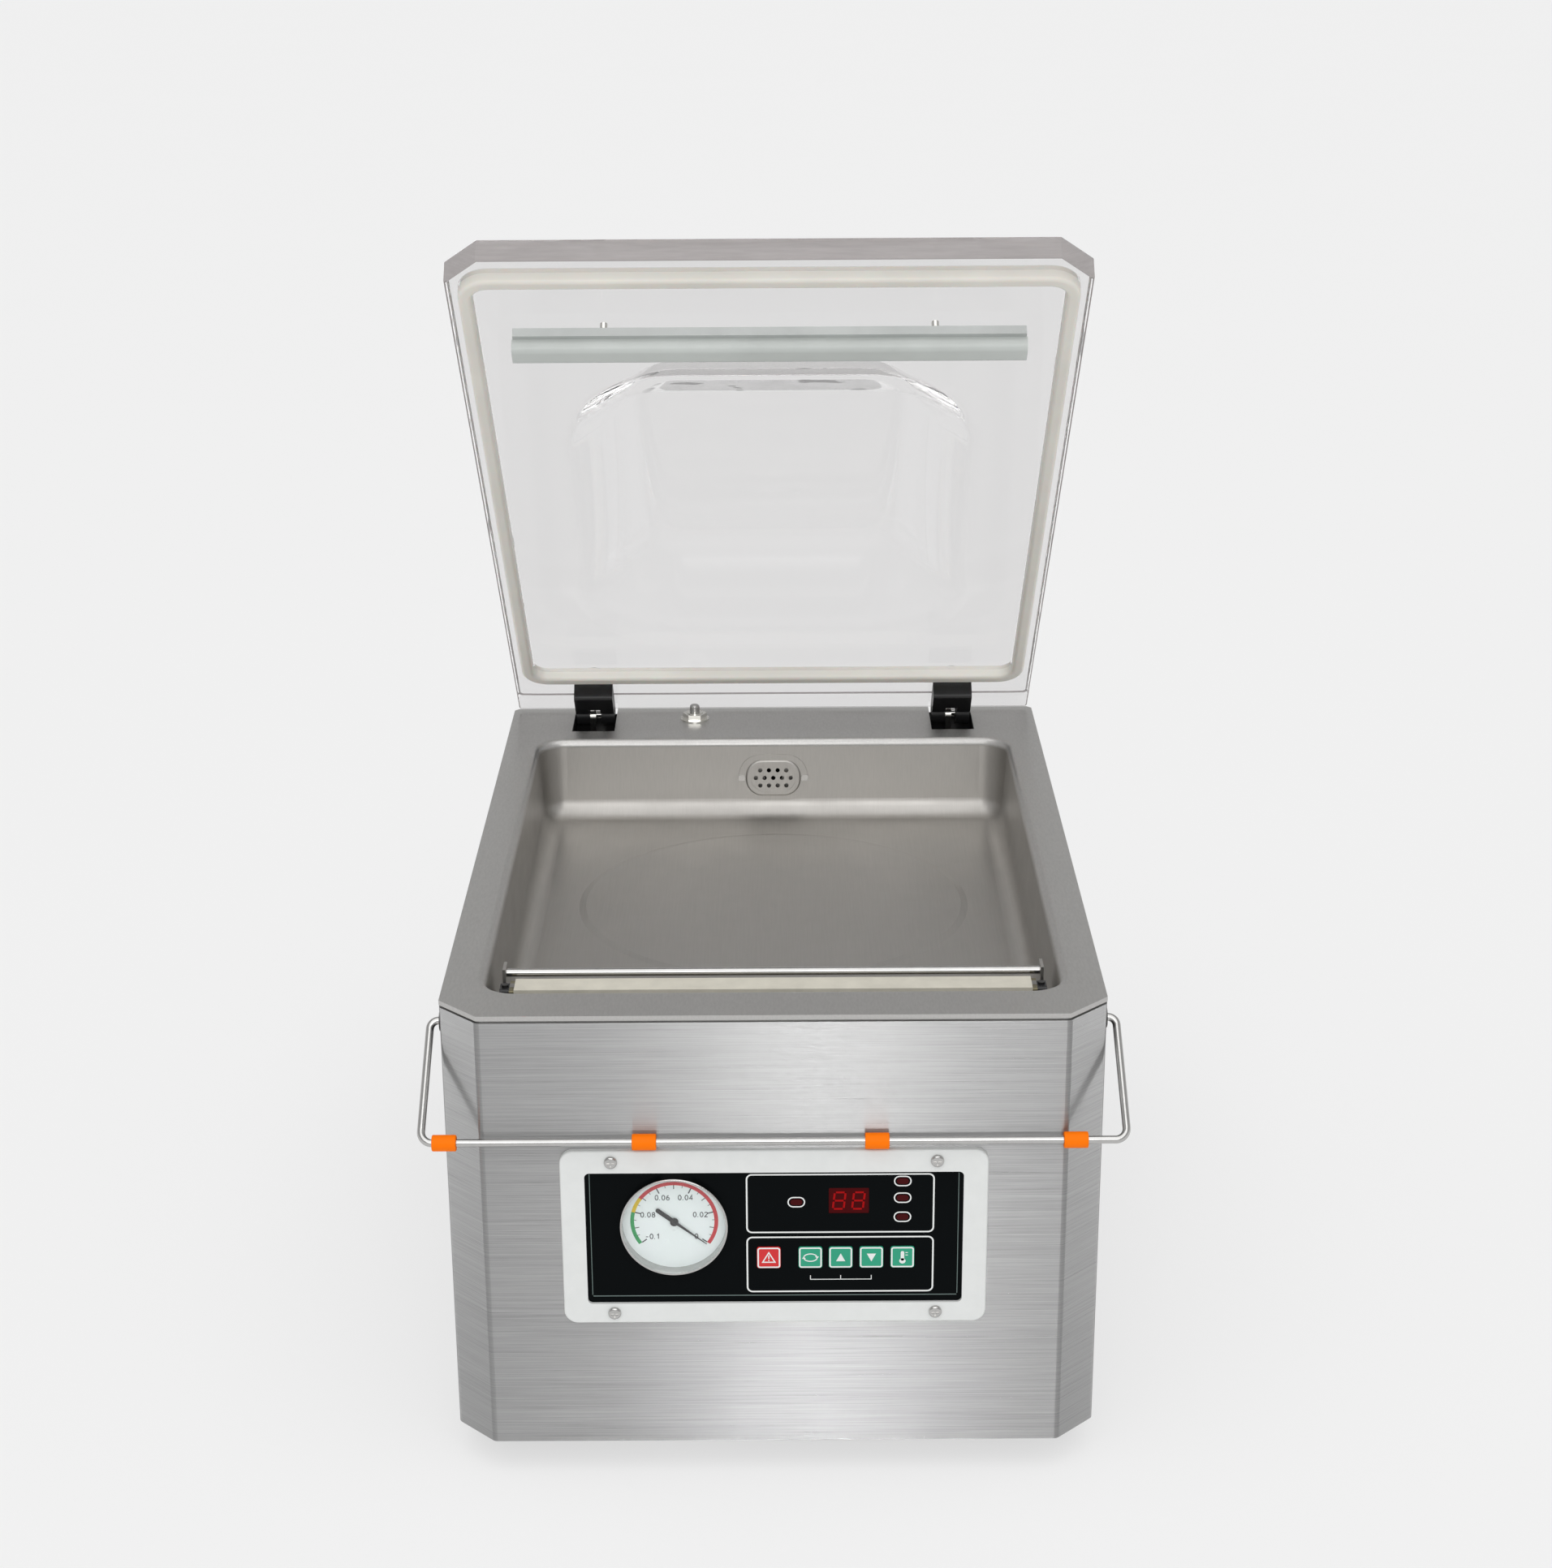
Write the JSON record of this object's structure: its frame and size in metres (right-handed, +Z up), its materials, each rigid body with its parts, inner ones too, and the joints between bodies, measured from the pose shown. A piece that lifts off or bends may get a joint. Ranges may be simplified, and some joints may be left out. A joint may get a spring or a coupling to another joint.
{
  "type": "chamber vacuum packing machine",
  "caption": "Table-top chamber vacuum packing machine with a clear domed lid on rear hinges, a wire locking bail, a sealing bar, a gauge and a push-button panel.",
  "frame": {"origin": "on the table, under the middle of the case", "axes": "+X to the user's right, +Y to the back of the machine, +Z up"},
  "size_m": [0.3522, 0.4933, 0.6075],
  "materials": {
    "stainless_case": "fine horizontal brushing, satin",
    "stainless_deck": "satin, lightly brushed",
    "stainless_tub": "pressed, soft polish",
    "polished_steel": "polished",
    "zinc_steel": "zinc plated, slightly dull",
    "clear_acrylic": "clear, polished, thick-edged",
    "cream_silicone": "soft satin",
    "orange_silicone": "soft satin",
    "grey_silicone": "translucent satin",
    "black_rubber": "matt",
    "black_moulded": "fine texture",
    "grey_moulded": "satin",
    "gloss_black_panel": "gloss",
    "red_button": "gloss, printed",
    "teal_button": "gloss, printed",
    "led_red": "diffusing",
    "display_smoke": "smoked gloss",
    "gauge_glass": "clear, flat",
    "dial_white": "printed matt white",
    "needle_black": "matt",
    "olive_bar": "anodised",
    "ptfe_cream": "woven, coated",
    "nichrome": "dull",
    "anvil_aluminium": "satin",
    "cast_pump": "painted",
    "motor_paint": "painted",
    "core_steel": "lacquered laminations",
    "valve_aluminium": "machined",
    "board_green": "circuit board",
    "spring_steel": "bright wire"
  },
  "bodies": {
    "cabinet": {"case_shell": "stainless_case", "base_plate": "stainless_case", "rear_panel": "stainless_case", "case_screws": "polished_steel", "rubber_feet": "black_rubber", "deck_plate": "stainless_deck", "chamber_tub": "stainless_tub", "suction_grille": "stainless_tub", "grille_clips": "polished_steel", "bag_rod": "polished_steel", "rod_brackets": "stainless_tub", "lift_cylinders": "valve_aluminium", "hinge_housings": "black_moulded", "hinge_lugs": "zinc_steel", "hinge_pins": "polished_steel", "lid_springs": "spring_steel", "lid_switch_nut": "zinc_steel", "lid_switch_body": "zinc_steel", "bail_bushings": "black_moulded", "panel_bezel": "grey_moulded", "bezel_screws": "polished_steel", "panel_plate": "gloss_black_panel", "display_window": "display_smoke", "led_lenses": "led_red", "control_board": "board_green", "gauge_case": "zinc_steel", "gauge_bezel": "polished_steel", "gauge_dial": "dial_white", "gauge_lens": "gauge_glass", "pump_body": "cast_pump", "pump_motor": "motor_paint", "transformer": "core_steel", "valve_block": "valve_aluminium", "vacuum_hose": "black_rubber", "power_inlet": "black_moulded", "fuse_holder": "black_moulded", "switch_housing": "black_moulded"},
    "lid": {"lid_shell": "clear_acrylic", "lid_gasket": "cream_silicone", "anvil_holder": "anvil_aluminium", "anvil_pad": "grey_silicone", "anvil_screws": "zinc_steel", "hinge_blocks": "black_moulded", "hinge_screws": "polished_steel"},
    "seal_bar": {"sealing_bar": "olive_bar", "heating_wire": "nichrome", "ptfe_tape": "ptfe_cream", "seal_end_blocks": "black_moulded", "lift_pistons": "polished_steel"},
    "bail": {"bail_wire": "polished_steel", "bail_sleeves": "orange_silicone"},
    "switch_plunger": {"lid_switch_plunger": "polished_steel"},
    "needle": {"gauge_needle": "needle_black"},
    "rocker": {"power_rocker": "black_moulded"},
    "fan": {"motor_fan": "black_moulded"},
    "button_stop": {"button_stop": "red_button"},
    "button_set": {"button_set": "teal_button"},
    "button_up": {"button_up": "teal_button"},
    "button_down": {"button_down": "teal_button"},
    "button_heat": {"button_heat": "teal_button"}
  },
  "joints": [
    {"name": "lid_hinge", "type": "hinge", "parent": "cabinet", "child": "lid", "pos_m": [0, 0.228, 0.258], "axis": [-1, 0, 0], "range_deg": [-46, 0], "stiffness_Nm_per_rad": 2.5, "springref_deg": 126.05},
    {"name": "bail_pivot", "type": "hinge", "parent": "cabinet", "child": "bail", "pos_m": [0, -0.211, 0.243], "axis": [-1, 0, 0], "range_deg": [0, 197]},
    {"name": "lid_switch_slide", "type": "slide", "parent": "cabinet", "child": "switch_plunger", "axis": [0, 0, 1], "range_m": [-0.0043, 0], "stiffness_N_per_m": 400},
    {"name": "seal_lift", "type": "slide", "parent": "cabinet", "child": "seal_bar", "axis": [0, 0, 1], "range_m": [0, 0.0046]},
    {"name": "needle_spin", "type": "hinge", "parent": "cabinet", "child": "needle", "pos_m": [-0.0502, -0.2383, 0.1442], "axis": [0, -1, 0], "range_deg": [0, 254], "stiffness_Nm_per_rad": 0.0005},
    {"name": "rocker_tilt", "type": "hinge", "parent": "cabinet", "child": "rocker", "pos_m": [0.115, 0.2345, 0.108], "axis": [0, 0, -1], "range_deg": [0, 24]},
    {"name": "fan_spin", "type": "hinge", "parent": "cabinet", "child": "fan", "pos_m": [0.08, 0.06, 0.0915], "axis": [1, 0, 0], "continuous": true},
    {"name": "button_stop_press", "type": "slide", "parent": "cabinet", "child": "button_stop", "axis": [0, 1, 0], "range_m": [0, 0.0008], "stiffness_N_per_m": 600},
    {"name": "button_set_press", "type": "slide", "parent": "cabinet", "child": "button_set", "axis": [0, 1, 0], "range_m": [0, 0.0008], "stiffness_N_per_m": 600},
    {"name": "button_up_press", "type": "slide", "parent": "cabinet", "child": "button_up", "axis": [0, 1, 0], "range_m": [0, 0.0008], "stiffness_N_per_m": 600},
    {"name": "button_down_press", "type": "slide", "parent": "cabinet", "child": "button_down", "axis": [0, 1, 0], "range_m": [0, 0.0008], "stiffness_N_per_m": 600},
    {"name": "button_heat_press", "type": "slide", "parent": "cabinet", "child": "button_heat", "axis": [0, 1, 0], "range_m": [0, 0.0008], "stiffness_N_per_m": 600}
  ],
  "couplings": [
    {"joint": "lid_switch_slide", "follows": "lid_hinge", "m_per_rad": 0.0052314}
  ]
}
